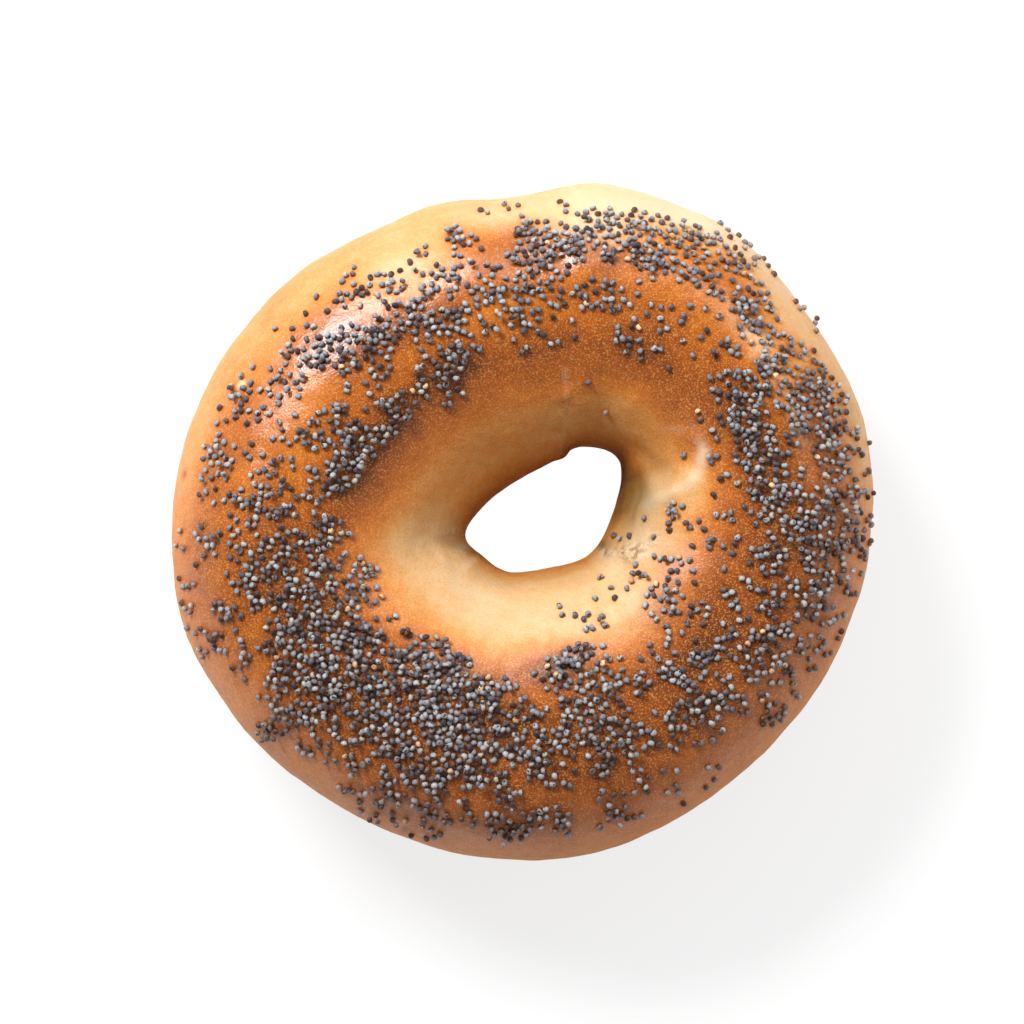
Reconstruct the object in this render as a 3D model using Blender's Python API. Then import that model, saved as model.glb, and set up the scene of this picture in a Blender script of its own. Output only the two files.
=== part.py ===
"""A hand-rolled bagel lying flat: one ring of baked dough, so one solid.

Units are metres and +Z is up. The origin is the middle of the footprint, on the surface that the
base rests on. Two closed rails, the hole's edge and the outer edge as seen from above, guide a
cross-section that is lofted round the ring.
"""

import math

import bmesh
import bpy
from mathutils import Vector
from mathutils.geometry import intersect_line_line_2d, interpolate_bezier

MM = 0.001

HEIGHT = 38 * MM
STATIONS = 72  # cross-sections round the ring
RAIL_STEPS = 8  # straight pieces between two points of a rail

# The outer edge, anticlockwise from +X. The dough's lapped end bulges between (33, 45) and (5, 52).
OUTER_EDGE = [
    (55.0, 0.0), (52.3, 19.0), (42.2, 35.3), (32.9, 45.4), (24.3, 49.6), (16.5, 51.8), (10.2, 53.1),
    (5.5, 52.0), (0.5, 50.7), (-6.0, 50.1), (-13.0, 50.0), (-21.0, 46.6), (-31.0, 41.6), (-40.5, 33.9),
    (-50.6, 18.4), (-54.8, 0.0), (-52.0, -18.9), (-41.5, -34.8), (-26.5, -46.0), (-9.0, -52.4),
    (9.0, -52.5), (26.4, -45.7), (40.4, -33.9), (50.6, -18.4),
]  # fmt: skip

# The hole's narrowest line. It is pinched where the lapped end is tucked in, near (2, 7).
HOLE_EDGE = [
    (14.5, 2.0), (15.8, 7.0), (14.6, 10.3), (9.0, 11.4), (5.2, 9.1), (1.5, 7.2), (-3.9, 3.9), (-7.6, 0.5),
    (-9.1, -3.0), (-6.3, -5.7), (-2.4, -8.2), (4.0, -7.7), (9.6, -6.1), (12.4, -3.0),
]  # fmt: skip

SPINDLE = Vector((3.2, 0.8))  # every cross-section stands on a line through this point, in millimetres

# The cross-section, across as a share of the ring's width from the hole outwards, up as a share of height.
CREST_ACROSS = 0.585
OUTER_WAIST_UP = 0.45
HOLE_WAIST_UP = 0.40
BASE_INNER_ACROSS = 0.22
BASE_OUTER_ACROSS = 0.80
OUTER_TOP_FULLNESS = 2.1  # 2 is an ellipse's quarter, more is squarer
OUTER_LOW_FULLNESS = 2.3
HOLE_LOW_FULLNESS = 2.2
HOLE_TOP_FULLNESS = 2.15
OUTER_TOP_STEPS = 10
OUTER_LOW_STEPS = 6
HOLE_LOW_STEPS = 5
HOLE_TOP_STEPS = 11
BASE_STEPS = 4

# Slow changes round the ring, as (size, waves round the ring, the angle of the first high point).
CREST_WANDER = [(0.025, 2, 200), (0.012, 3, 80)]
HEIGHT_WANDER = [(0.018, 1, 215), (0.014, 3, 40)]
FULLNESS_WANDER = [(0.38, 1, 315), (0.06, 2, 100)]  # the hole's side slopes in most gently at 315


def clear_scene():
    for thing in list(bpy.data.objects):
        bpy.data.objects.remove(thing)


def rail(corners):
    """Points along the closed smooth curve through these corners."""
    corners = [Vector(corner) for corner in corners]
    count = len(corners)
    line = []
    for i, here in enumerate(corners):
        before = corners[i - 1]
        there = corners[(i + 1) % count]
        beyond = corners[(i + 2) % count]
        start_handle = here + (there - before) / 6
        end_handle = there - (beyond - here) / 6
        line += interpolate_bezier(here, start_handle, end_handle, there, RAIL_STEPS + 1)[:-1]
    return line


def distance_to(line, direction):
    """How far the closed line is from the spindle, looking in this direction."""
    far_point = SPINDLE + direction * 1000
    for i, end in enumerate(line):
        crossing = intersect_line_line_2d(SPINDLE, far_point, line[i - 1], end)
        if crossing:
            return (crossing - SPINDLE).length
    raise ValueError("the line doesn't go round the spindle")


def wander(waves, angle):
    return sum(size * math.cos(count * (angle - math.radians(high))) for size, count, high in waves)


def quarter(corner, start, end, fullness, steps):
    """Points of a quarter of a superellipse from start to end, without the last one.

    The corner is the one of its box that the quarter bulges towards, so that the curve leaves the
    start, and reaches the end, in line with the box's sides.
    """
    points = []
    for i in range(steps):
        turn = math.pi / 2 * i / steps
        from_start = 1 - math.cos(turn) ** (2 / fullness)
        to_corner = math.sin(turn) ** (2 / fullness)
        across = start + (corner - start) * to_corner + (end - corner) * from_start
        points.append(across)
    return points


def section_shape(crest_across, hole_top_fullness):
    """The closed cross-section as (across, up) shares, from the crest outwards and round."""
    crest = Vector((crest_across, 1))
    outer_waist = Vector((1, OUTER_WAIST_UP))
    base_outer = Vector((BASE_OUTER_ACROSS, 0))
    base_inner = Vector((BASE_INNER_ACROSS, 0))
    hole_waist = Vector((0, HOLE_WAIST_UP))
    points = quarter(Vector((1, 1)), crest, outer_waist, OUTER_TOP_FULLNESS, OUTER_TOP_STEPS)
    points += quarter(Vector((1, 0)), outer_waist, base_outer, OUTER_LOW_FULLNESS, OUTER_LOW_STEPS)
    points += [base_outer.lerp(base_inner, i / BASE_STEPS) for i in range(BASE_STEPS)]
    points += quarter(Vector((0, 0)), base_inner, hole_waist, HOLE_LOW_FULLNESS, HOLE_LOW_STEPS)
    points += quarter(Vector((0, 1)), hole_waist, crest, hole_top_fullness, HOLE_TOP_STEPS)
    return points


def add_section(ring, angle, hole_line, outer_line):
    """One cross-section standing at this angle, as a closed loop of edges in the mesh."""
    direction = Vector((math.cos(angle), math.sin(angle)))
    near = distance_to(hole_line, direction)
    far = distance_to(outer_line, direction)
    height = HEIGHT * (1 + wander(HEIGHT_WANDER, angle))
    crest_across = CREST_ACROSS + wander(CREST_WANDER, angle)
    hole_top_fullness = HOLE_TOP_FULLNESS + wander(FULLNESS_WANDER, angle)
    corners = []
    for across, up in section_shape(crest_across, hole_top_fullness):
        place = (SPINDLE + direction * (near + (far - near) * across)) * MM
        corners.append(ring.verts.new((place.x, place.y, height * up)))
    return [ring.edges.new((corners[i - 1], corner)) for i, corner in enumerate(corners)]


def set_on_origin(mesh):
    """Moves the points so that the box round them stands on the origin."""
    spots = [vertex.co for vertex in mesh.vertices]
    low = Vector(min(spot[i] for spot in spots) for i in range(3))
    high = Vector(max(spot[i] for spot in spots) for i in range(3))
    foot = Vector(((low.x + high.x) / 2, (low.y + high.y) / 2, low.z))
    for vertex in mesh.vertices:
        vertex.co -= foot


def crust_material():
    material = bpy.data.materials.new("crust")
    material.use_nodes = True
    shader = material.node_tree.nodes["Principled BSDF"]
    shader.inputs["Base Color"].default_value = (0.56, 0.24, 0.07, 1)
    shader.inputs["Roughness"].default_value = 0.42
    shader.inputs["Metallic"].default_value = 0
    return material


def make_bagel():
    hole_line = rail(HOLE_EDGE)
    outer_line = rail(OUTER_EDGE)
    ring = bmesh.new()
    sections = [
        add_section(ring, 2 * math.pi * i / STATIONS, hole_line, outer_line) for i in range(STATIONS)
    ]
    for i, section in enumerate(sections):
        bmesh.ops.bridge_loops(ring, edges=sections[i - 1] + section)
    bmesh.ops.recalc_face_normals(ring, faces=ring.faces)
    mesh = bpy.data.meshes.new("bagel")
    ring.to_mesh(mesh)
    ring.free()
    set_on_origin(mesh)
    mesh.shade_smooth()
    mesh.materials.append(crust_material())
    bagel = bpy.data.objects.new("bagel", mesh)
    bpy.context.scene.collection.objects.link(bagel)


clear_scene()
make_bagel()
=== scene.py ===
import math
import random

import bmesh
import bpy
import numpy as np
from mathutils import Matrix, Vector
from mathutils.bvhtree import BVHTree


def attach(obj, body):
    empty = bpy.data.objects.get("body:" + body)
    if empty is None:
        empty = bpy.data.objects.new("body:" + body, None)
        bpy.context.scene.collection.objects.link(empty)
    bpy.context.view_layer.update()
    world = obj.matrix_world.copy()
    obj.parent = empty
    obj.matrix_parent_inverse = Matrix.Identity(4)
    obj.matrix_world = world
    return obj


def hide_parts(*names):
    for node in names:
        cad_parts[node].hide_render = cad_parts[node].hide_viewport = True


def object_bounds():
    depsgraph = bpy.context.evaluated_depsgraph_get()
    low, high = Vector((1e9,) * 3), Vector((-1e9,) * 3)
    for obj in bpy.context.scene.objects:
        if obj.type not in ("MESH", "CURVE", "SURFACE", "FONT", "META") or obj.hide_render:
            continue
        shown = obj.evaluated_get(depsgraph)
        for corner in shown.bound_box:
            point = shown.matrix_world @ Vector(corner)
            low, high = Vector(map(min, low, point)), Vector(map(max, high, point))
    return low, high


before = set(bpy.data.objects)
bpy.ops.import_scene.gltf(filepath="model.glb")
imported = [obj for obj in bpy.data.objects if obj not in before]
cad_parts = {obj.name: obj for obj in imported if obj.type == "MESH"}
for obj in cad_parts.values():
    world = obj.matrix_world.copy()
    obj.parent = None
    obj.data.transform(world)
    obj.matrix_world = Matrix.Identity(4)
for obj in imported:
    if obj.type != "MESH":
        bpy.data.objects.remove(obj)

mm = 0.001
cadLow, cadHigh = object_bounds()
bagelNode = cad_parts["bagel"]
crestHeight = cadHigh.z
spindle = Vector((0.0031, 0.0004, 0))  # the ring is measured round this upright line
stations = 72  # directions in which the ring's two edges are measured


def deselectAll():
    for thing in bpy.context.selected_objects:
        thing.select_set(False)


def makeActive(thing):
    deselectAll()
    thing.select_set(True)
    bpy.context.view_layer.objects.active = thing


def applyModifier(thing, kind, **settings):
    makeActive(thing)
    modifier = thing.modifiers.new(kind.lower(), kind)
    for key, value in settings.items():
        setattr(modifier, key, value)
    bpy.ops.object.modifier_apply(modifier=modifier.name)


def meshPoints(mesh):
    points = np.empty(len(mesh.vertices) * 3, np.float32)
    mesh.vertices.foreach_get("co", points)
    return points.reshape(-1, 3).astype(float)


def smoothStep(low, high, values):
    share = np.clip((values - low) / (high - low), 0, 1)
    return share * share * (3 - 2 * share)


# places on the ring are an angle round it, and a share across it from the hole (0) to the rim (1)
def measureRing():
    points = meshPoints(bagelNode.data) - np.array(spindle)
    turns = np.arctan2(points[:, 1], points[:, 0]) / (2 * np.pi)
    station = np.round(turns * stations).astype(int) % stations
    reach = np.hypot(points[:, 0], points[:, 1])
    near = np.array([reach[station == i].min() for i in range(stations)])
    far = np.array([reach[station == i].max() for i in range(stations)])
    return near, far


holeReach, rimReach = measureRing()


def edgeReach(reach, angles):
    place = np.asarray(angles) / 360 * stations
    return np.interp(place, np.arange(stations), reach, period=stations)


def ringPlace(angle, share):
    near, far = edgeReach(holeReach, angle), edgeReach(rimReach, angle)
    reach = near + (far - near) * share
    turn = math.radians(angle)
    return Vector((spindle.x + math.cos(turn) * reach, spindle.y + math.sin(turn) * reach, 0))


def ringCoordinates(points):
    offset = points - np.array(spindle)
    angles = np.degrees(np.arctan2(offset[:, 1], offset[:, 0])) % 360
    reach = np.hypot(offset[:, 0], offset[:, 1])
    near, far = edgeReach(holeReach, angles), edgeReach(rimReach, angles)
    return angles, (reach - near) / (far - near)


def strokes(angles, shares, marks):
    # each mark is (angle, share, half width in degrees, half width as a share, amount), soft at its edge
    total = np.zeros(len(angles))
    for angle, share, aroundHalf, acrossHalf, amount in marks:
        turn = (angles - angle + 180) % 360 - 180
        total += amount * np.exp(-((turn / aroundHalf) ** 2) - ((shares - share) / acrossHalf) ** 2)
    return total


class Wire:
    # wraps an output socket, so that shader maths can be written as an expression
    def __init__(self, recipe, socket):
        self.recipe = recipe
        self.socket = socket

    def maths(self, operation, first, second):
        return self.recipe.node("ShaderNodeMath", {"operation": operation}, {0: first, 1: second})

    def __add__(self, other):
        return self.maths("ADD", self, other)

    def __sub__(self, other):
        return self.maths("SUBTRACT", self, other)

    def __rsub__(self, other):
        return self.maths("SUBTRACT", other, self)

    def __mul__(self, other):
        return self.maths("MULTIPLY", self, other)

    __radd__ = __add__
    __rmul__ = __mul__


class Recipe:
    # the nodes of one material, or of the world
    def __init__(self, owner):
        owner.use_nodes = True
        self.tree = owner.node_tree

    def plug(self, socket, value):
        if isinstance(value, Wire):
            self.tree.links.new(value.socket, socket)
        else:
            socket.default_value = value

    def node(self, kind, settings=None, sockets=None, out=0):
        added = self.tree.nodes.new(kind)
        for key, value in (settings or {}).items():
            if key == "stops":
                self.setStops(added.color_ramp, value)
            else:
                setattr(added, key, value)
        for key, value in (sockets or {}).items():
            self.plug(added.inputs[key], value)
        return Wire(self, added.outputs[out])

    def setStops(self, ramp, stops):
        while len(ramp.elements) < len(stops):
            ramp.elements.new(1.0)
        for element, (position, colour) in zip(ramp.elements, stops):
            element.position = position
            element.color = (*colour, 1)

    def attribute(self, name):
        return self.node("ShaderNodeAttribute", {"attribute_name": name}, out="Fac")

    def place(self):
        return self.node("ShaderNodeTexCoord", out="Object")

    def noise(self, size, detail, rough):
        sockets = {"Vector": self.place(), "Scale": 1 / size, "Detail": detail, "Roughness": rough}
        return self.node("ShaderNodeTexNoise", sockets=sockets)

    def ramp(self, value, stops):
        return self.node("ShaderNodeValToRGB", {"stops": stops}, {"Fac": value})

    def between(self, value, low, high):
        # rises softly from 0 at low to 1 at high
        settings = {"interpolation_type": "SMOOTHSTEP"}
        sockets = {"Value": value, "From Min": low, "From Max": high}
        return self.node("ShaderNodeMapRange", settings, sockets)

    def mixColour(self, factor, first, second, blend="MIX"):
        settings = {"data_type": "RGBA", "blend_type": blend}
        return self.node("ShaderNodeMix", settings, {0: factor, 6: first, 7: second}, out=2)

    def bump(self, height, distance, under=None):
        sockets = {"Height": height, "Distance": distance, "Strength": 1.0}
        if under:
            sockets["Normal"] = under
        return self.node("ShaderNodeBump", sockets=sockets)

    def fill(self, nodeName, sockets):
        for key, value in sockets.items():
            self.plug(self.tree.nodes[nodeName].inputs[key], value)


cameraView = {
    "lens": 100,
    "sensor": 36,
    "nearest": 10 * mm,
    "place": (-1.65 * mm, 1.41 * mm, 463.5 * mm),  # straight above, a little off centre
}


def makeCamera():
    bpy.ops.object.camera_add(location=cameraView["place"], rotation=(0, 0, 0))
    camera = bpy.context.object
    camera.data.lens = cameraView["lens"]
    camera.data.sensor_width = cameraView["sensor"]
    camera.data.clip_start = cameraView["nearest"]
    bpy.context.scene.camera = camera
    print("camera set")


crustLook = {
    "weld": 0.01 * mm,
    "subdivisions": 2,
    "voxel": 0.62 * mm,
    "smoothing": {"factor": 0.5, "iterations": 3},
    "lumps": {"size": 17 * mm, "depth": 0.9 * mm},
    "dents": {"size": 5 * mm, "depth": 0.22 * mm},
    "pimples": {"size": 1.7 * mm, "depth": 0.10 * mm},
}

# hollows and ridges pushed into the dough: angle, share, radius in mm, push in mm (positive is outwards)
crustPushes = [
    (16, 0.06, 4.5, -1.2),  # thumb hollow, running out from the hole
    (357, 0.05, 4.0, -0.7),
    (32, 0.07, 4.0, -0.8),
    (25, 0.11, 3.0, -0.45),
    (20, 0.17, 3.6, -0.60),
    (21, 0.27, 3.6, -0.50),
    (6, 0.08, 2.0, 0.35),  # and the ridge round it
    (10, 0.14, 2.0, 0.42),
    (12, 0.21, 2.0, 0.40),
    (14, 0.28, 2.0, 0.26),
    (20, 0.33, 2.8, 0.35),
    (27, 0.33, 2.8, 0.35),
    (33, 0.26, 2.8, 0.30),
    (38, 0.18, 2.6, 0.25),
    (330, 0.04, 1.8, -0.50),  # torn patch
    (338, 0.07, 1.6, 0.35),
    (343, 0.10, 1.6, -0.35),
    (350, 0.14, 1.6, 0.30),
    (100, 0.02, 5.0, 0.35),
    (84, 0.02, 3.5, 0.35),
    (73, 0.02, 2.4, 0.9),  # lapped seam, from the hole out to the rim
    (61, 0.02, 2.4, -0.6),
    (78, 0.10, 1.5, -0.40),
    (79, 0.19, 1.5, -0.45),
    (80, 0.28, 1.5, -0.40),
    (82, 0.40, 1.8, -0.35),
    (84, 0.55, 2.0, -0.30),
    (86, 0.70, 2.4, -0.45),
    (88, 0.84, 3.0, -0.60),
    (89, 0.94, 3.4, -0.80),
    (89, 0.99, 3.0, -0.55),
    (70, 0.86, 8.0, 0.60),
    (192, 0.05, 1.5, -0.35),  # folds at the hole's narrow end
    (201, 0.10, 1.8, 0.30),
    (184, 0.09, 1.8, 0.25),
    (212, 0.08, 1.6, -0.30),
    (248, 0.88, 5.0, -0.35),  # flat dimples low on the near side
    (150, 0.86, 6.0, 0.30),
]

# how brown the crust is from the hole (share 0) to the rim (share 1), on the near and the far side
brownBand = {
    "share": (0.0, 0.04, 0.10, 0.20, 0.30, 0.40, 0.50, 0.60, 0.70, 0.80, 0.90, 1.0),
    "near": (0.42, 0.14, 0.04, 0.12, 0.40, 0.68, 0.82, 0.83, 0.80, 0.68, 0.58, 0.46),
    "far": (0.68, 0.40, 0.28, 0.36, 0.72, 0.84, 0.66, 0.62, 0.53, 0.40, 0.28, 0.22),
}
farMiddle, farHalf, farFade = 102, 66, 26  # the far side's bearing, half width and fade in degrees

# the sides and the base are plainer than the top, and heights are shares of the crest's height
flankLook = {
    "brown": 0.40,
    "farBrown": 0.24,
    "baseBrown": 0.62,
    "baseTo": 0.10,
    "dull": 0.60,
    "topBrownBetween": (0.34, 0.56),  # where the top's browning starts, and where it is full
    "topDullBetween": (0.35, 0.60),
    "topMarksBetween": (0.35, 0.45),
}

# the crest is glazed, the hole and the sides are dull
dullBand = {
    "share": (0.0, 0.25, 0.38, 0.48, 0.75, 0.90, 1.0),
    "dull": (0.52, 0.48, 0.32, 0.22, 0.22, 0.45, 0.65),
}

# dough colours from unbaked to darkest
crustStops = [
    (0.00, (0.51, 0.36, 0.205)),
    (0.20, (0.51, 0.28, 0.105)),
    (0.35, (0.50, 0.20, 0.042)),
    (0.50, (0.45, 0.135, 0.013)),
    (0.65, (0.35, 0.088, 0.006)),
    (0.80, (0.24, 0.054, 0.004)),
    (0.92, (0.16, 0.035, 0.004)),
    (1.00, (0.10, 0.022, 0.003)),
]

# strokes of browning added: angle, share, half width in degrees, half width as a share, amount
browning = [
    (14, 0.02, 20, 0.10, 0.30),  # root of the thumb hollow, darkened as painted shade
    (12, 0.30, 12, 0.05, -0.18),
    (38, 0.24, 10, 0.08, 0.14),
    (40, 0.50, 8, 0.05, 0.10),
    (22, 0.90, 8, 0.05, -0.08),
    # painted sheen: the paler marks at 34, 114 and 121 degrees, high on the far crest, stand in for the
    # glaze's reflection
    (34, 0.72, 14, 0.09, -0.26),
    (12, 0.94, 16, 0.08, -0.32),
    (66, 0.98, 22, 0.12, -0.20),  # pale lapped end
    # partly pale dough at the lapped end, partly painted sheen
    (80, 0.86, 10, 0.09, -0.32),
    (62, 0.90, 8, 0.05, -0.18),
    # painted sheen on the far crest
    (114, 0.80, 8, 0.08, -0.10),
    (121, 0.80, 8, 0.06, -0.18),
    (78, 0.70, 8, 0.06, 0.20),
    (52, 0.80, 9, 0.05, 0.16),
    (58, 0.50, 8, 0.06, 0.12),
    (120, 0.42, 12, 0.07, 0.14),
    (160, 0.40, 14, 0.07, 0.12),
    (165, 0.80, 16, 0.08, 0.21),
    (181, 0.87, 13, 0.08, 0.19),
    (200, 0.70, 8, 0.05, -0.10),
    (222, 0.54, 10, 0.08, 0.10),
    (155, 0.95, 26, 0.08, 0.08),
    (139, 0.74, 8, 0.08, 0.35),
    (160, 0.60, 8, 0.05, -0.13),
    (135, 0.97, 24, 0.07, 0.10),
    (99, 0.80, 8, 0.07, 0.29),
    (100, 0.56, 9, 0.08, -0.17),
    (173, 0.953, 0.7, 0.010, 0.5),  # two burnt flecks
    (246, 0.95, 0.5, 0.014, 0.5),
    (205, 0.40, 14, 0.06, -0.14),
    (240, 0.40, 12, 0.11, 0.29),
    (268, 0.26, 14, 0.06, 0.14),
    (281, 0.51, 9, 0.06, 0.22),
    (260, 0.50, 8, 0.06, 0.14),
    (273, 0.32, 14, 0.05, 0.36),
    (340, 0.24, 9, 0.08, 0.16),
    (340, 0.40, 9, 0.06, 0.12),
    (320, 0.50, 12, 0.06, 0.14),
    (320, 0.30, 12, 0.05, 0.10),
    (126, 0.62, 14, 0.06, 0.27),
    (120, 0.71, 7, 0.04, -0.10),
    (20, 0.40, 9, 0.04, -0.12),
]

# pale, floury dough on the ridge, the seam and the folds, and painted sheen along the far crest and rim,
# drawn the same way
paleDoughAndSheen = [
    (352, 0.12, 10, 0.05, 0.30),  # below the hollow
    (345, 0.22, 9, 0.06, 0.35),
    (343, 0.31, 8, 0.05, 0.25),
    (331, 0.04, 6, 0.04, 0.60),  # round the torn patch
    (341, 0.13, 6, 0.05, 0.70),
    (80, 0.86, 14, 0.09, 0.42),  # lapped end, partly pale dough and partly painted sheen; painted sheen along the far crest follows
    (55, 0.97, 14, 0.06, 0.60),
    (100, 0.91, 9, 0.06, 0.38),
    (112, 0.78, 8, 0.06, 0.14),
    (121, 0.80, 8, 0.06, 0.44),
    (40, 0.71, 9, 0.06, 0.50),
    (80, 0.80, 8, 0.05, 0.32),
    (20, 0.70, 8, 0.05, 0.36),
    (60, 0.90, 9, 0.05, 0.22),
    (156, 0.87, 0.9, 0.014, 1.0),  # a stray flake of dough
    (200, 0.02, 5, 0.04, 0.50),  # folds
    (188, 0.05, 4, 0.05, 0.45),
    (212, 0.05, 4, 0.05, 0.40),
    (190, 0.14, 3, 0.05, 0.30),
]

# pale lines that run from place to place (angle, share), each with its half width and its amount
paleLines = [
    {
        "path": [(8, 0.12), (11, 0.18), (13, 0.26), (17, 0.31), (23, 0.325)],
        "half": 1.2 * mm,
        "amount": 0.50,
    },
    {"path": [(21, 0.32), (28, 0.32), (32, 0.28), (36, 0.20)], "half": 1.2 * mm, "amount": 0.24},
    {"path": [(74, 0.02), (77, 0.12), (79, 0.24), (82, 0.32)], "half": 0.7 * mm, "amount": 0.28},
]

# dough torn open, rough and creviced
tornDough = [
    (332, 0.04, 4, 0.030, 1.0),
    (338, 0.09, 4, 0.035, 1.0),
    (342, 0.13, 4, 0.030, 0.9),
    (336, 0.13, 3, 0.030, 0.7),
    (348, 0.16, 3, 0.030, 0.5),
    (74, 0.06, 1.5, 0.05, 0.4),
    (79, 0.20, 1.5, 0.06, 0.4),
    (204, 0.03, 3, 0.03, 0.4),
    (188, 0.05, 3, 0.04, 0.4),
]

# painted shade deep in the hole, round its edge and in the thumb hollow's root: the crust is darkened and
# greyed there
holeShadeDough = [
    (14, 0.04, 20, 0.12, 0.90),
    (38, 0.22, 9, 0.08, 0.30),
    (342, 0.10, 14, 0.16, 0.20),
    (336, 0.01, 4, 0.025, 0.55),
    (320, 0.27, 12, 0.07, 0.20),
    (282, 0.30, 8, 0.05, 0.35),
]
holeShadeEdge, holeShadeEdgeTo = 0.34, 0.10  # painted shade all round the hole's edge too, fading out to this share


def nearLines(points, lines):
    # like strokes, but along each line's path
    total = np.zeros(len(points))
    for line in lines:
        corners = np.array([ringPlace(angle, share) for angle, share in line["path"]])
        reach = np.full(len(points), 1.0)
        for first, second in zip(corners[:-1], corners[1:]):
            along, offset = second - first, points * (1, 1, 0) - first
            step = np.clip(offset @ along / (along @ along), 0, 1)
            reach = np.minimum(reach, np.linalg.norm(offset - step[:, None] * along, axis=1))
        total += line["amount"] * np.exp(-((reach / line["half"]) ** 2))
    return total


def surfaceTree(thing):
    mesh = bmesh.new()
    mesh.from_mesh(thing.data)
    tree = BVHTree.FromBMesh(mesh)
    mesh.free()
    return tree


def dropOnto(tree, place):
    hit, normal, _, _ = tree.ray_cast(Vector((place.x, place.y, crestHeight * 2)), Vector((0, 0, -1)))
    return hit, normal


def pushDough(crust):
    # every push is one pull with soft selection, as by hand
    tree = surfaceTree(crust)
    makeActive(crust)
    bpy.ops.object.mode_set(mode="EDIT")
    bpy.ops.mesh.select_mode(type="VERT")
    for angle, share, size, push in crustPushes:
        hit, normal = dropOnto(tree, ringPlace(angle, share))
        if hit is None:
            continue
        bpy.ops.mesh.select_all(action="DESELECT")
        mesh = bmesh.from_edit_mesh(crust.data)
        nearest = min(mesh.verts, key=lambda corner: (corner.co - hit).length_squared)
        nearest.select_set(True)
        bmesh.update_edit_mesh(crust.data)
        bpy.ops.transform.translate(
            value=normal * push * mm,
            use_proportional_edit=True,
            proportional_edit_falloff="SMOOTH",
            proportional_size=size * mm,
        )
    bpy.ops.object.mode_set(mode="OBJECT")


def roughen(crust, name, size, depth):
    texture = bpy.data.textures.new(name, "CLOUDS")
    texture.noise_scale = size
    applyModifier(
        crust, "DISPLACE", texture=texture, texture_coords="LOCAL", strength=depth, mid_level=0.5
    )


def paintAttribute(mesh, name, values):
    attribute = mesh.attributes.new(name, "FLOAT", "POINT")
    attribute.data.foreach_set("value", values.astype(np.float32))


# painted shade: the crust is darkened among the seeds and at the foot of each, partly browning and partly
# the seeds' shade painted in; spread is in cells
seedShades = [
    {"cell": 0.8 * mm, "spread": 2.2, "full": 0.42, "amount": 0.11},
    {"cell": 0.4 * mm, "spread": 1.4, "full": 0.18, "amount": 0.15},
]


def seedShade(points, spots, cell, spread, full):
    # how thickly seeds lie round each point, from 0 to 1 where there are full seeds to a cell
    half = math.ceil(cadHigh.x * 1.1 / cell)  # cells on each side of the middle, with some to spare
    counts = np.zeros((2 * half, 2 * half))
    for hit, _ in spots:
        counts[int(hit.x / cell + half), int(hit.y / cell + half)] += 1
    blur = np.exp(-((np.arange(-4, 5) / spread) ** 2))  # four cells to each side
    blur /= blur.sum()
    for axis in (0, 1):
        counts = np.apply_along_axis(np.convolve, axis, counts, blur, "same")
    columns = (points[:, 0] / cell + half).astype(int)
    rows = (points[:, 1] / cell + half).astype(int)
    return np.clip(counts[columns, rows] / full, 0, 1)


def paintBrowning(crust, spots):
    points = meshPoints(crust.data)
    angles, shares = ringCoordinates(points)
    up = points[:, 2] / crestHeight
    turn = np.abs((angles - farMiddle + 180) % 360 - 180)
    far = 1 - smoothStep(farHalf, farHalf + farFade, turn)
    nearBrown = np.interp(shares, brownBand["share"], brownBand["near"])
    farBrown = np.interp(shares, brownBand["share"], brownBand["far"])
    top = nearBrown + (farBrown - nearBrown) * far + strokes(angles, shares, browning)
    flank = flankLook["brown"] + (flankLook["farBrown"] - flankLook["brown"]) * far
    brown = flank + (top - flank) * smoothStep(*flankLook["topBrownBetween"], up)
    # the seeds' painted shade is added to the browning here
    for shade in seedShades:
        brown += shade["amount"] * seedShade(points, spots, shade["cell"], shade["spread"], shade["full"])
    base = 1 - smoothStep(0, flankLook["baseTo"], up)
    brown += (flankLook["baseBrown"] - brown) * base
    paintAttribute(crust.data, "brown", np.clip(brown, 0, 1))
    dull = np.interp(shares, dullBand["share"], dullBand["dull"])
    below = 1 - smoothStep(*flankLook["topDullBetween"], up)
    paintAttribute(crust.data, "dull", dull + (flankLook["dull"] - dull) * below)
    marks = {
        # the pale marks hold painted sheen too
        "pale": strokes(angles, shares, paleDoughAndSheen) + nearLines(points, paleLines),
        "torn": strokes(angles, shares, tornDough),
        "damp": strokes(angles, shares, holeShadeDough) + holeShadeEdge * (1 - smoothStep(0, holeShadeEdgeTo, shares)),
    }
    shown = smoothStep(*flankLook["topMarksBetween"], up)
    for name, amount in marks.items():
        paintAttribute(crust.data, name, np.clip(amount, 0, 1) * shown)
    print("crust browned")


def makeCrust():
    crust = bpy.data.objects.new("crust", bagelNode.data.copy())
    bpy.context.scene.collection.objects.link(crust)
    crust.data.materials.clear()
    makeActive(crust)
    bpy.ops.object.mode_set(mode="EDIT")
    bpy.ops.mesh.select_all(action="SELECT")
    bpy.ops.mesh.remove_doubles(threshold=crustLook["weld"])
    bpy.ops.mesh.tris_convert_to_quads()
    bpy.ops.object.mode_set(mode="OBJECT")
    levels = crustLook["subdivisions"]
    applyModifier(crust, "SUBSURF", levels=levels, render_levels=levels)
    pushDough(crust)
    applyModifier(crust, "REMESH", mode="VOXEL", voxel_size=crustLook["voxel"])
    applyModifier(crust, "SMOOTH", **crustLook["smoothing"])
    roughen(crust, "lumps", **crustLook["lumps"])
    roughen(crust, "dents", **crustLook["dents"])
    roughen(crust, "pimples", **crustLook["pimples"])
    for corner in crust.data.vertices:
        corner.co.z = max(corner.co.z, 0)  # the base stays flat
    crust.data.shade_smooth()
    print("crust made:", len(crust.data.polygons), "faces")
    return crust


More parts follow.
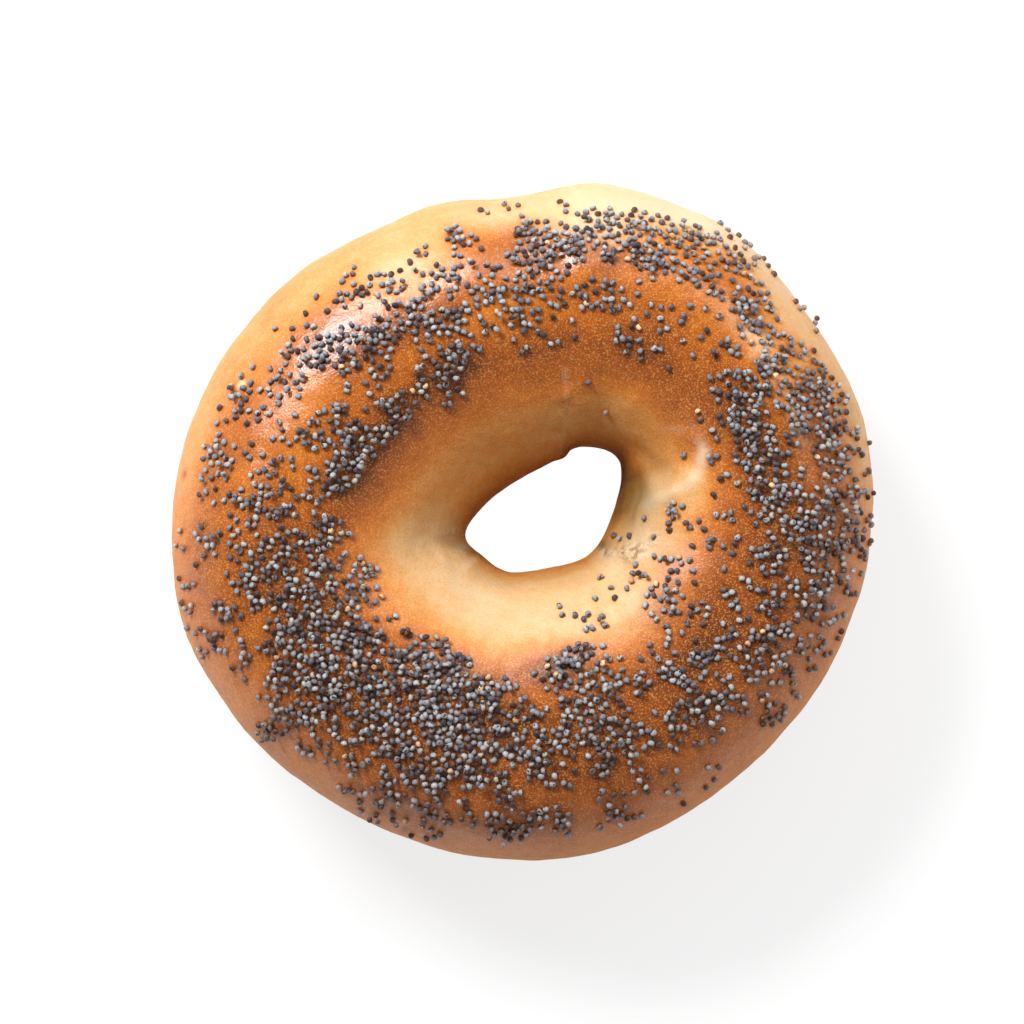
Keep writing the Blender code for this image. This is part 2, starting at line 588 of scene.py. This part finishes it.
# each noise is its size, detail and roughness; between gives where a mask starts and where it is full
crustFinish = {
    "patches": {"noise": (9 * mm, 5, 0.6), "amount": 0.30},  # unevenness of the browning
    "streaks": {"noise": (1.6 * mm, 4, 0.6), "amount": 0.30, "dull": 0.14, "relief": 0.09 * mm},
    "grain": {"noise": (0.28 * mm, 2, 0.6), "relief": 0.055 * mm},
    # light specks: partly real blisters, partly painted glints of the glaze
    "blisterGlints": {"between": (0.51, 0.65), "amount": 0.38, "colour": (0.66, 0.34, 0.10, 1)},
    "pores": {"between": (0.46, 0.34), "amount": 0.30, "colour": (0.55, 0.42, 0.30, 1)},
    "pale": {
        "between": (0.08, 0.85),
        "ragged": 0.8,
        "amount": 0.75,
        "dull": 0.2,
        "colour": (0.60, 0.46, 0.31, 1),
    },
    "crumb": {"noise": (1.2 * mm, 3, 0.55), "relief": 1.0 * mm},
    # painted shade in the torn dough's crevices: darker where the crumb bump is lowest
    "crevices": {"between": (0.50, 0.40), "amount": 0.75, "colour": (0.25, 0.12, 0.03, 1)},
    # painted shade: the colour that darkens and greys the crust in the hole
    "damp": (0.27, 0.34, 0.37, 1),
    "gloss": 0.46,
    "sheen": (1.0, 0.94, 0.93, 1),  # the egg glaze warms what it reflects
    "glowThrough": {"weight": 0.08, "radius": (0.9, 0.35, 0.12), "scale": 2 * mm},
}


def crustMaterial():
    look = crustFinish
    blisterGlints, pores, crevices = look["blisterGlints"], look["pores"], look["crevices"]
    material = bpy.data.materials.new("bakedCrust")
    recipe = Recipe(material)
    torn = recipe.attribute("torn")
    patches = recipe.noise(*look["patches"]["noise"]) - 0.5
    streaks = recipe.noise(*look["streaks"]["noise"]) - 0.5
    grain = recipe.noise(*look["grain"]["noise"])
    crumb = recipe.noise(*look["crumb"]["noise"])

    uneven = patches * look["patches"]["amount"] + streaks * look["streaks"]["amount"]
    colour = recipe.ramp(recipe.attribute("brown") + uneven, crustStops)
    # the light specks mix in partly painted glints
    blisterGlint = recipe.between(grain, *blisterGlints["between"]) * blisterGlints["amount"]
    colour = recipe.mixColour(blisterGlint, colour, blisterGlints["colour"])
    pore = recipe.between(grain, *pores["between"]) * pores["amount"]
    colour = recipe.mixColour(pore, colour, pores["colour"], "MULTIPLY")
    pale = recipe.attribute("pale") + streaks * look["pale"]["ragged"]
    pale = recipe.between(pale, *look["pale"]["between"])
    colour = recipe.mixColour(pale * look["pale"]["amount"], colour, look["pale"]["colour"])
    # painted shade in the crevices
    crevice = recipe.between(crumb, *crevices["between"]) * torn
    colour = recipe.mixColour(crevice * crevices["amount"], colour, crevices["colour"])
    # painted shade in the hole
    colour = recipe.mixColour(recipe.attribute("damp"), colour, look["damp"], "MULTIPLY")

    fine = recipe.bump(grain, look["grain"]["relief"])
    wrinkled = recipe.bump(streaks, look["streaks"]["relief"], under=fine)
    crumbled = recipe.bump(crumb * torn, look["crumb"]["relief"], under=wrinkled)
    dull = recipe.attribute("dull") + streaks * look["streaks"]["dull"] + pale * look["pale"]["dull"]
    recipe.fill("Principled BSDF", {
        "Base Color": colour,
        "Roughness": dull,
        "Normal": crumbled,
        "Specular IOR Level": look["gloss"],
        "Specular Tint": look["sheen"],
        "Subsurface Weight": look["glowThrough"]["weight"],
        "Subsurface Radius": look["glowThrough"]["radius"],
        "Subsurface Scale": look["glowThrough"]["scale"],
    })
    return material


seedLook = {
    "length": 1.10 * mm,
    "width": 0.97 * mm,
    "thickness": 0.88 * mm,
    "notch": {"beside": (0, -1 * mm, 0.15 * mm), "push": 0.26 * mm, "reach": 0.5 * mm},
    "sizes": (0.88, 1.1),  # smallest and largest, against the size above
    "lean": 0.22,
    "bedded": 0.20,  # share of a seed sunk into the crust
    "apart": 0.90 * mm,  # seeds lie at least this far from each other
    "piled": 0.3,  # chance that a seed may lie on top of others
    "pileApart": (0.55 * mm, 0.85 * mm),  # how far aside of the seed below
    "pileLift": 0.72 * mm,
    "amount": 1.14,  # how many seeds are strewn, against the counts below
    "clinging": 0.66,  # chance that a seed lies beside one of its patch
    "clingingFrom": 12,  # only in patches of more seeds than this
    "gap": (0.93 * mm, 1.12 * mm),  # between clinging seeds
    "stray": 1.15,  # how far seeds stray out of a patch, against its half widths
    "steepest": 0.12,  # seeds roll off where the crust's normal points up less than this
    "tries": 30,
    "nearSlopeShade": 0.75,  # painted shade: how much darker the seeds are on the near slopes, which face away from the key light
    "nearSlopeShadeBetween": (0.25, 0.70),  # how far a slope faces the near side
    "glazedBetween": (-0.1, 0.75),  # glaze clings round a seed's foot and thins out between these heights
    "seed": 7,
}

# strewn patches: angle, share, half width in degrees, half width as a share, how many seeds
# the large ones come first, and small ones over them thicken the strewing where it lies in drifts
seedPatches = [
    (8, 0.55, 13, 0.07, 30), (8, 0.72, 13, 0.10, 52), (30, 0.56, 12, 0.08, 28), (27, 0.76, 12, 0.10, 50),
    (5, 0.89, 12, 0.05, 24), (20, 0.87, 8, 0.05, 14), (6, 0.40, 13, 0.05, 7), (20, 0.48, 4, 0.04, 6),
    (58, 0.43, 9, 0.06, 14), (50, 0.56, 8, 0.07, 9), (52, 0.72, 8, 0.09, 14), (52, 0.89, 7, 0.07, 18),
    (68, 0.57, 9, 0.08, 8), (68, 0.74, 9, 0.06, 24), (68, 0.85, 10, 0.05, 26), (84, 0.42, 4, 0.02, 3),
    (95, 0.46, 5, 0.06, 7), (82, 0.60, 8, 0.08, 12), (84, 0.75, 9, 0.06, 26), (85, 0.84, 10, 0.05, 22),
    (98, 0.62, 8, 0.08, 16), (98, 0.77, 9, 0.07, 26), (113, 0.50, 7, 0.06, 15), (112, 0.66, 8, 0.08, 28),
    (112, 0.78, 8, 0.05, 8), (127, 0.45, 7, 0.07, 21), (125, 0.60, 7, 0.06, 18), (120, 0.72, 6, 0.05, 12),
    (128, 0.81, 6, 0.06, 14), (140, 0.65, 6, 0.05, 14), (141, 0.83, 7, 0.05, 9), (148, 0.44, 6, 0.05, 14),
    (152, 0.74, 4, 0.05, 10), (161, 0.45, 7, 0.07, 26), (157, 0.57, 6, 0.04, 11), (142, 0.41, 8, 0.04, 9),
    (157, 0.86, 3, 0.03, 6), (173, 0.66, 6, 0.04, 16), (171, 0.86, 5, 0.04, 14), (172, 0.51, 6, 0.05, 12),
    (178, 0.59, 6, 0.04, 8), (196, 0.36, 6, 0.04, 13), (186, 0.48, 7, 0.06, 24), (185, 0.69, 9, 0.05, 26),
    (190, 0.60, 8, 0.05, 16), (187, 0.85, 6, 0.05, 8), (188, 0.78, 8, 0.04, 4), (198, 0.94, 6, 0.03, 8),
    (203, 0.50, 6, 0.06, 20), (203, 0.62, 7, 0.06, 26), (203, 0.73, 7, 0.06, 14), (200, 0.84, 6, 0.05, 14),
    (219, 0.46, 6, 0.06, 24), (220, 0.60, 8, 0.08, 48), (212, 0.68, 5, 0.05, 14), (220, 0.75, 8, 0.07, 34),
    (218, 0.86, 7, 0.04, 20), (234, 0.36, 9, 0.05, 32), (233, 0.48, 8, 0.06, 30), (235, 0.60, 8, 0.07, 38),
    (235, 0.74, 8, 0.07, 24), (234, 0.85, 8, 0.05, 14), (249, 0.40, 7, 0.05, 20), (249, 0.53, 8, 0.07, 36),
    (249, 0.66, 8, 0.06, 28), (249, 0.80, 8, 0.07, 28), (264, 0.45, 7, 0.04, 12), (264, 0.56, 8, 0.06, 30),
    (264, 0.68, 7, 0.06, 16), (262, 0.84, 8, 0.05, 26), (245, 0.93, 8, 0.03, 12), (275, 0.33, 9, 0.04, 9),
    (281, 0.41, 7, 0.05, 18), (276, 0.54, 7, 0.05, 17), (275, 0.66, 6, 0.05, 7), (278, 0.85, 6, 0.05, 14),
    (291, 0.37, 8, 0.04, 9), (294, 0.47, 8, 0.05, 16), (293, 0.62, 8, 0.06, 22), (300, 0.68, 6, 0.06, 9),
    (290, 0.80, 8, 0.06, 6), (296, 0.90, 8, 0.03, 4), (307, 0.44, 7, 0.06, 10), (308, 0.60, 8, 0.06, 20),
    (307, 0.74, 6, 0.06, 9), (306, 0.86, 5, 0.03, 2), (325, 0.30, 9, 0.05, 12), (318, 0.16, 15, 0.07, 9),
    (335, 0.25, 10, 0.05, 5), (287, 0.15, 7, 0.04, 3), (297, 0.21, 6, 0.03, 6), (325, 0.42, 9, 0.06, 12),
    (323, 0.60, 9, 0.07, 28), (323, 0.73, 9, 0.07, 28), (322, 0.87, 9, 0.05, 14), (338, 0.55, 9, 0.06, 14),
    (338, 0.68, 9, 0.06, 24), (338, 0.80, 9, 0.06, 26), (338, 0.91, 9, 0.04, 12), (338, 0.30, 8, 0.07, 9),
    (356, 0.27, 9, 0.06, 8), (352, 0.42, 7, 0.06, 7), (353, 0.57, 8, 0.06, 14), (353, 0.69, 8, 0.06, 14),
    (353, 0.81, 8, 0.06, 20), (353, 0.92, 8, 0.05, 14), (60, 0.15, 1, 0.01, 1), (72, 0.28, 1, 0.01, 1),
    (4, 0.22, 4, 0.02, 4), (25, 0.24, 1, 0.01, 1), (22, 0.36, 6, 0.03, 4), (8, 0.52, 8, 0.05, 10),
    (1, 0.77, 6, 0.05, 6), (22, 0.80, 7, 0.05, 14), (38, 0.72, 7, 0.05, 10), (33, 0.54, 7, 0.05, 9),
    (50, 0.83, 7, 0.05, 9), (64, 0.56, 6, 0.05, 7), (66, 0.77, 7, 0.05, 12), (68, 0.86, 7, 0.04, 10),
    (82, 0.54, 6, 0.05, 6), (82, 0.77, 6, 0.05, 9), (97, 0.64, 7, 0.05, 9), (112, 0.63, 5, 0.05, 6),
    (125, 0.65, 6, 0.05, 9), (127, 0.77, 6, 0.05, 8), (127, 0.36, 5, 0.03, 4), (141, 0.56, 6, 0.05, 8),
    (143, 0.67, 6, 0.05, 6), (157, 0.43, 6, 0.05, 11), (157, 0.55, 6, 0.05, 7), (157, 0.77, 6, 0.04, 8),
    (157, 0.84, 6, 0.04, 5), (172, 0.67, 6, 0.05, 6), (172, 0.76, 6, 0.04, 5), (171, 0.84, 6, 0.05, 10),
    (187, 0.43, 6, 0.05, 10), (187, 0.77, 6, 0.05, 8), (202, 0.37, 6, 0.04, 9), (202, 0.45, 6, 0.04, 9),
    (202, 0.57, 7, 0.05, 15), (202, 0.65, 7, 0.05, 11), (202, 0.84, 7, 0.04, 8), (217, 0.37, 7, 0.04, 10),
    (217, 0.45, 7, 0.05, 17), (217, 0.55, 7, 0.05, 10), (217, 0.65, 7, 0.05, 14), (232, 0.34, 7, 0.04, 10),
    (232, 0.45, 7, 0.05, 12), (232, 0.55, 7, 0.05, 17), (232, 0.65, 7, 0.05, 10), (247, 0.45, 7, 0.05, 14),
    (247, 0.56, 7, 0.05, 12), (247, 0.65, 7, 0.05, 14), (262, 0.47, 7, 0.05, 7), (262, 0.56, 7, 0.05, 8),
    (277, 0.36, 6, 0.04, 5), (277, 0.55, 6, 0.05, 7), (285, 0.45, 6, 0.04, 5), (307, 0.65, 6, 0.05, 7),
    (53, 0.97, 8, 0.02, 6), (35, 0.97, 6, 0.02, 5), (14, 0.985, 1, 0.005, 1), (97, 0.93, 4, 0.02, 4),
    (137, 0.78, 6, 0.06, 2), (142, 0.71, 5, 0.04, 7), (279, 0.32, 7, 0.03, 8), (15, 0.55, 8, 0.05, 12),
    (30, 0.55, 8, 0.05, 8), (30, 0.73, 8, 0.05, 7), (28, 0.85, 7, 0.05, 7), (30, 0.45, 6, 0.03, 4),
    (1, 0.76, 7, 0.05, 7), (2, 0.95, 8, 0.03, 6), (45, 0.79, 6, 0.06, 8), (62, 0.76, 7, 0.05, 10),
    (60, 0.85, 7, 0.05, 8), (75, 0.75, 7, 0.05, 13), (76, 0.85, 6, 0.04, 6), (75, 0.57, 7, 0.05, 5),
    (90, 0.65, 7, 0.05, 9), (90, 0.76, 7, 0.05, 8), (91, 0.55, 7, 0.05, 5), (105, 0.55, 7, 0.05, 9),
    (136, 0.57, 7, 0.05, 7), (136, 0.65, 6, 0.04, 7), (150, 0.76, 6, 0.05, 9), (165, 0.45, 7, 0.05, 12),
    (165, 0.65, 7, 0.05, 10), (164, 0.86, 7, 0.04, 8), (180, 0.65, 7, 0.05, 8), (179, 0.75, 6, 0.04, 7),
    (270, 0.86, 8, 0.04, 4), (285, 0.65, 6, 0.06, 13), (285, 0.55, 6, 0.04, 7), (286, 0.78, 6, 0.06, 9),
    (32, 0.56, 6, 0.05, 9), (31, 0.67, 6, 0.05, 8), (43, 0.74, 6, 0.05, 7), (28, 0.49, 7, 0.03, 5),
    (357, 0.74, 6, 0.05, 11), (358, 0.86, 6, 0.05, 6), (14, 0.83, 6, 0.04, 5), (209, 0.48, 5, 0.05, 10),
    (186, 0.47, 6, 0.04, 7), (186, 0.93, 5, 0.03, 5), (222, 0.84, 7, 0.04, 8), (90, 0.75, 7, 0.05, 6),
    (60, 0.74, 7, 0.05, 8), (120, 0.57, 5, 0.04, 7), (135, 0.66, 5, 0.05, 5), (338, 0.84, 6, 0.04, 6),
    (345, 0.05, 1, 0.02, 2), (349, 0.10, 1, 0.01, 1), (1, 0.12, 1, 0.01, 1), (351, 0.17, 1, 0.01, 1),
    (340, 0.21, 2, 0.02, 2), (38, 0.46, 3, 0.02, 2), (34, 0.36, 3, 0.02, 2), (2, 0.65, 7, 0.05, 10),
    (3, 0.86, 6, 0.04, 8), (331, 0.72, 6, 0.05, 8), (284, 0.29, 11, 0.02, 11),
]


def makeSeed():
    # one kidney-shaped grain: a small ball, stretched, with a notch pressed into its side
    bpy.ops.mesh.primitive_uv_sphere_add(segments=8, ring_count=6, radius=0.5)
    seed = bpy.context.object
    seed.scale = (seedLook["length"], seedLook["width"], seedLook["thickness"])
    makeActive(seed)
    bpy.ops.object.transform_apply(location=False, rotation=False, scale=True)
    bpy.ops.object.mode_set(mode="EDIT")
    bpy.ops.mesh.select_all(action="DESELECT")
    mesh = bmesh.from_edit_mesh(seed.data)
    notch = seedLook["notch"]
    beside = Vector(notch["beside"])
    nearest = min(mesh.verts, key=lambda corner: (corner.co - beside).length)
    nearest.select_set(True)
    bmesh.update_edit_mesh(seed.data)
    bpy.ops.transform.translate(
        value=(0, notch["push"], 0),
        use_proportional_edit=True,
        proportional_edit_falloff="SMOOTH",
        proportional_size=notch["reach"],
    )
    bpy.ops.object.mode_set(mode="OBJECT")
    return seed


def strewSeeds(tree, dice):
    # picks where each seed lies; seeds cling together, so many land beside one already there
    grid = {}  # the seeds already strewn, by cell
    cellSide = 1.2 * mm
    found = []

    def cell(place):
        return int(place.x // cellSide), int(place.y // cellSide)

    def nearestSeed(place):
        column, row = cell(place)
        near = [
            other
            for i in (-1, 0, 1)
            for j in (-1, 0, 1)
            for other in grid.get((column + i, row + j), [])
        ]
        return min(((other - place).length for other in near), default=1)

    for angle, share, aroundHalf, acrossHalf, count in seedPatches:
        mine = []
        drifted = count > seedLook["clingingFrom"]
        for _ in range(round(count * seedLook["amount"])):
            for _ in range(seedLook["tries"]):
                if mine and drifted and dice.random() < seedLook["clinging"]:
                    beside = dice.choice(mine)
                    turn = dice.uniform(0, 2 * math.pi)
                    gap = dice.uniform(*seedLook["gap"])
                    place = beside + Vector((math.cos(turn), math.sin(turn), 0)) * gap
                else:
                    turn = dice.uniform(0, 2 * math.pi)
                    reach = math.sqrt(dice.random()) * seedLook["stray"]
                    aside = aroundHalf * reach * math.cos(turn)
                    across = acrossHalf * reach * math.sin(turn)
                    place = ringPlace(angle + aside, share + across)
                hit, normal = dropOnto(tree, place)
                if hit is None or normal.z < seedLook["steepest"]:
                    continue
                gap = nearestSeed(place)
                closest, widest = seedLook["pileApart"]
                onTop = closest < gap < widest and dice.random() < seedLook["piled"]
                if gap < seedLook["apart"] and not onTop:
                    continue
                mine.append(place)
                grid.setdefault(cell(place), []).append(place)
                lift = seedLook["pileLift"] if onTop else 0
                found.append((hit + normal * lift, normal))
                break
    print("places for seeds found:", len(found))
    return found


def copySeeds(name, seed, spots, dice):
    corners = meshPoints(seed.data)
    faces = [list(face.vertices) for face in seed.data.polygons]
    points, polygons, tints, glazes = [], [], [], []
    for hit, normal in spots:
        lean = Vector([dice.gauss(0, seedLook["lean"]) for _ in range(3)])
        upright = (normal + lean).normalized().to_track_quat("Z", "Y").to_matrix()
        turn = upright @ Matrix.Rotation(dice.uniform(0, 2 * math.pi), 3, "Z")
        size = dice.uniform(*seedLook["sizes"])
        lift = normal * seedLook["thickness"] * (0.5 - seedLook["bedded"])
        first = len(points) * len(corners)
        turned = corners @ np.array(turn).T
        points.append(turned * size + np.array(hit + lift))
        polygons += [[first + corner for corner in face] for face in faces]
        height = turned @ np.array(normal) / (seedLook["thickness"] / 2)
        glazes.append(1 - smoothStep(*seedLook["glazedBetween"], height))
        # painted shade: seeds on slopes that face the near side are darkened
        nearSlopeShade = seedLook["nearSlopeShade"] * smoothStep(*seedLook["nearSlopeShadeBetween"], -normal.y)
        tints.append(np.full(len(corners), dice.random() * (1 - nearSlopeShade)))
    mesh = bpy.data.meshes.new(name)
    mesh.from_pydata(np.concatenate(points), [], polygons)
    paintAttribute(mesh, "tint", np.concatenate(tints))
    paintAttribute(mesh, "glazed", np.concatenate(glazes))
    mesh.shade_smooth()
    seeds = bpy.data.objects.new(name, mesh)
    bpy.context.scene.collection.objects.link(seeds)
    return seeds


seedFinish = {
    "mottle": {"noise": (0.42 * mm, 2, 0.6), "amount": 0.6},
    "blotches": {"noise": (0.55 * mm, 1, 0.5), "between": (0.32, 0.40), "colour": (0.012, 0.011, 0.014, 1)},
    "glaze": {"amount": 0.75, "colour": (0.24, 0.095, 0.03, 1)},
    "net": {"size": 0.16 * mm, "between": (0.0, 0.12), "relief": 0.03 * mm},  # the pitted skin
    "dull": 0.45,
}


def seedMaterial(name, stops):
    look = seedFinish
    material = bpy.data.materials.new(name)
    recipe = Recipe(material)
    mottle = recipe.noise(*look["mottle"]["noise"]) - 0.5
    tint = recipe.attribute("tint") + mottle * look["mottle"]["amount"]
    colour = recipe.ramp(tint, stops)
    clear = recipe.between(recipe.noise(*look["blotches"]["noise"]), *look["blotches"]["between"])
    colour = recipe.mixColour(clear, look["blotches"]["colour"], colour)
    glazed = recipe.attribute("glazed") * look["glaze"]["amount"]
    colour = recipe.mixColour(glazed, colour, look["glaze"]["colour"])
    net = recipe.node(
        "ShaderNodeTexVoronoi",
        {"feature": "DISTANCE_TO_EDGE"},
        {"Vector": recipe.place(), "Scale": 1 / look["net"]["size"]},
        out="Distance",
    )
    relief = recipe.bump(recipe.between(net, *look["net"]["between"]), look["net"]["relief"])
    recipe.fill("Principled BSDF", {"Base Color": colour, "Roughness": look["dull"], "Normal": relief})
    return material


# part is each kind's share of all the seeds
seedKinds = {
    "slateSeeds": {
        "part": 0.43,
        "stops": [
            (0.0, (0.045, 0.04, 0.06)),
            (0.4, (0.145, 0.145, 0.17)),
            (0.8, (0.225, 0.24, 0.265)),
            (1.0, (0.28, 0.30, 0.32)),
        ],
    },
    "ashSeeds": {
        "part": 0.40,
        "stops": [
            (0.0, (0.17, 0.175, 0.20)),
            (0.4, (0.28, 0.30, 0.325)),
            (0.8, (0.38, 0.405, 0.425)),
            (1.0, (0.36, 0.35, 0.28)),
        ],
    },
    "plumSeeds": {
        "part": 0.155,
        "stops": [(0.0, (0.018, 0.010, 0.012)), (0.6, (0.05, 0.03, 0.04)), (1.0, (0.12, 0.09, 0.08))],
    },
    "blondSeeds": {
        "part": 0.015,
        "stops": [(0.0, (0.45, 0.25, 0.12)), (1.0, (0.80, 0.52, 0.30))],
    },
}


def makeSeeds(spots, dice):
    seed = makeSeed()
    spots = list(spots)
    dice.shuffle(spots)
    start = 0.0
    made = []
    for name, kind in seedKinds.items():
        end = start + kind["part"]
        mine = spots[round(start * len(spots)):round(end * len(spots))]
        seeds = copySeeds(name, seed, mine, dice)
        seeds.data.materials.append(seedMaterial(name, kind["stops"]))
        made.append(seeds)
        start = end
        print(name, "made:", len(mine))
    bpy.data.objects.remove(seed)
    return made


stageLook = {
    "floorSide": 4.0,
    "floorHeight": -0.05 * mm,
    "floorColour": (0.88, 0.88, 0.88, 1),
    "glow": (0.965, 0.965, 0.965, 1),
    "holeGlow": (1.25, 1.25, 1.25, 1),
    "holeMiddle": 0.4,  # share of the way from the origin to the hole's edge on +X
    "holeGlowBetween": (34 * mm, 20 * mm),  # from that middle
    "glowShare": 0.80,
    "skyLow": (0.62, 0.62, 0.62, 1),  # near the horizon
    "skyHigh": (0.31, 0.31, 0.31, 1),  # and straight above
    "skyBetween": (0.1, 0.7),
}

# bearings are degrees anticlockwise from +X, heights are degrees above the floor
softboxes = {
    "key": {
        "bearing": 126,
        "height": 43,
        "away": 1.0,
        "size": (0.32, 0.18),
        "power": 15.5,
        "colour": (1, 1, 1),
    },
    "fill": {
        "bearing": 345,
        "height": 22,
        "away": 1.0,
        "size": (1.0, 0.5),
        "power": 1.4,
        "colour": (1.0, 0.84, 0.66),
    },
    "side": {
        "bearing": 60,
        "height": 47,
        "away": 1.1,
        "size": (1.5, 0.2),
        "power": 6.5,
        "colour": (1, 1, 1),
    },
}


def makeFloor():
    # pale paper that glows a little for the camera, most in the hole
    height = stageLook["floorHeight"]
    bpy.ops.mesh.primitive_plane_add(size=stageLook["floorSide"], location=(0, 0, height))
    floor = bpy.context.object
    floor.name = "floor"
    material = bpy.data.materials.new("paleFloor")
    recipe = Recipe(material)
    sockets = {0: recipe.place(), 1: ringPlace(0, 0) * stageLook["holeMiddle"]}
    away = recipe.node("ShaderNodeVectorMath", {"operation": "DISTANCE"}, sockets, out="Value")
    inHole = recipe.between(away, *stageLook["holeGlowBetween"])
    glowColour = recipe.mixColour(inHole, stageLook["glow"], stageLook["holeGlow"])
    glow = recipe.node("ShaderNodeEmission", sockets={"Color": glowColour})
    paper = recipe.node("ShaderNodeBsdfDiffuse", sockets={"Color": stageLook["floorColour"]})
    seen = recipe.node("ShaderNodeLightPath", out="Is Camera Ray")
    sockets = {0: seen * stageLook["glowShare"], 1: paper, 2: glow}
    recipe.fill("Material Output", {"Surface": recipe.node("ShaderNodeMixShader", sockets=sockets)})
    floor.data.materials.append(material)


def makeSoftbox(name, box):
    bearing, height = math.radians(box["bearing"]), math.radians(box["height"])
    level = Vector((math.cos(bearing), math.sin(bearing), 0))
    towards = level * math.cos(height) + Vector((0, 0, math.sin(height)))
    bpy.ops.object.light_add(type="AREA", location=towards * box["away"])
    light = bpy.context.object
    light.name = name
    light.rotation_euler = towards.to_track_quat("Z", "Y").to_euler()
    light.data.shape = "RECTANGLE"
    light.data.size, light.data.size_y = box["size"]
    light.data.energy = box["power"]
    light.data.color = box["colour"]


def makeSky():
    world = bpy.data.worlds.new("studio")
    recipe = Recipe(world)
    direction = recipe.node("ShaderNodeTexCoord", out="Generated")
    height = recipe.node("ShaderNodeSeparateXYZ", sockets={0: direction}, out="Z")
    upper = recipe.between(height, *stageLook["skyBetween"])
    colour = recipe.mixColour(upper, stageLook["skyLow"], stageLook["skyHigh"])
    recipe.fill("Background", {"Color": colour, "Strength": 1.0})
    bpy.context.scene.world = world
    bpy.context.scene.view_settings.view_transform = "Standard"


makeCamera()
makeFloor()
for softboxName, softbox in softboxes.items():
    makeSoftbox(softboxName, softbox)
makeSky()
print("floor and lights set")

dice = random.Random(seedLook["seed"])
crust = makeCrust()
seedSpots = strewSeeds(surfaceTree(crust), dice)
paintBrowning(crust, seedSpots)
crust.data.materials.append(crustMaterial())
seedPieces = makeSeeds(seedSpots, dice)

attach(crust, "root")
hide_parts("bagel")
for seeds in seedPieces:
    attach(seeds, "root")
